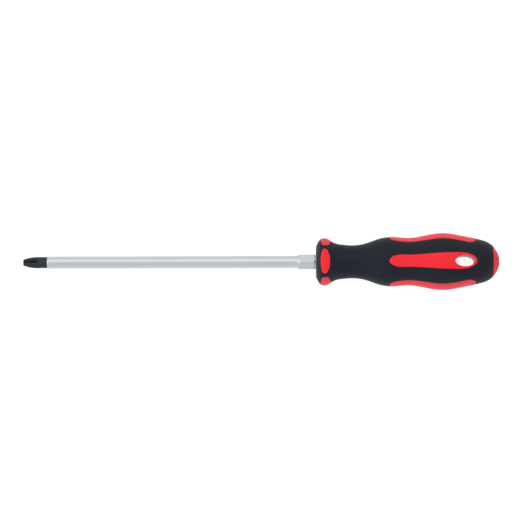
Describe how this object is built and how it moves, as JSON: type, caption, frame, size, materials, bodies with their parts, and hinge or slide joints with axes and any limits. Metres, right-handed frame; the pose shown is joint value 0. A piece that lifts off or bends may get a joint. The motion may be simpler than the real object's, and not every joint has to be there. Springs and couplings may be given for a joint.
{
  "type": "screwdriver",
  "caption": "Cross-point screwdriver: long round steel blade with hexagonal bolster, oval two-colour soft-grip handle with collar and elliptical hang hole.",
  "frame": {"origin": "on the blade axis at the driver tip's end", "axes": "+X along the blade from the tip to the butt of the handle, +Z along the hang hole out of the front panel, +Y across the handle's wide side; the tool lies on its -Z side"},
  "size_m": [0.3253, 0.039, 0.0336],
  "materials": {
    "shank_steel": "satin chromed chrome-vanadium steel, black oxide on the first 16 mm",
    "bolster_steel": "satin chromed steel",
    "core_plastic": "light grey hard polypropylene",
    "black_rubber": "matte thermoplastic rubber",
    "red_panel": "satin red moulding",
    "red_strip": "fine-grained red thermoplastic rubber",
    "red_cap": "smooth red moulding",
    "red_disc": "darker red moulding with a plain cross"
  },
  "bodies": {
    "root": {"blade": "shank_steel", "hex_bolster": "bolster_steel", "handle_core": "core_plastic", "soft_grip": "black_rubber", "front_panel": "red_panel", "rear_panel": "red_panel", "left_grip_strip": "red_strip", "right_grip_strip": "red_strip", "front_collar_pad": "red_panel", "rear_collar_pad": "red_panel", "left_collar_pad": "red_strip", "right_collar_pad": "red_strip", "end_cap": "red_cap", "end_disc": "red_disc"}
  },
  "joints": []
}
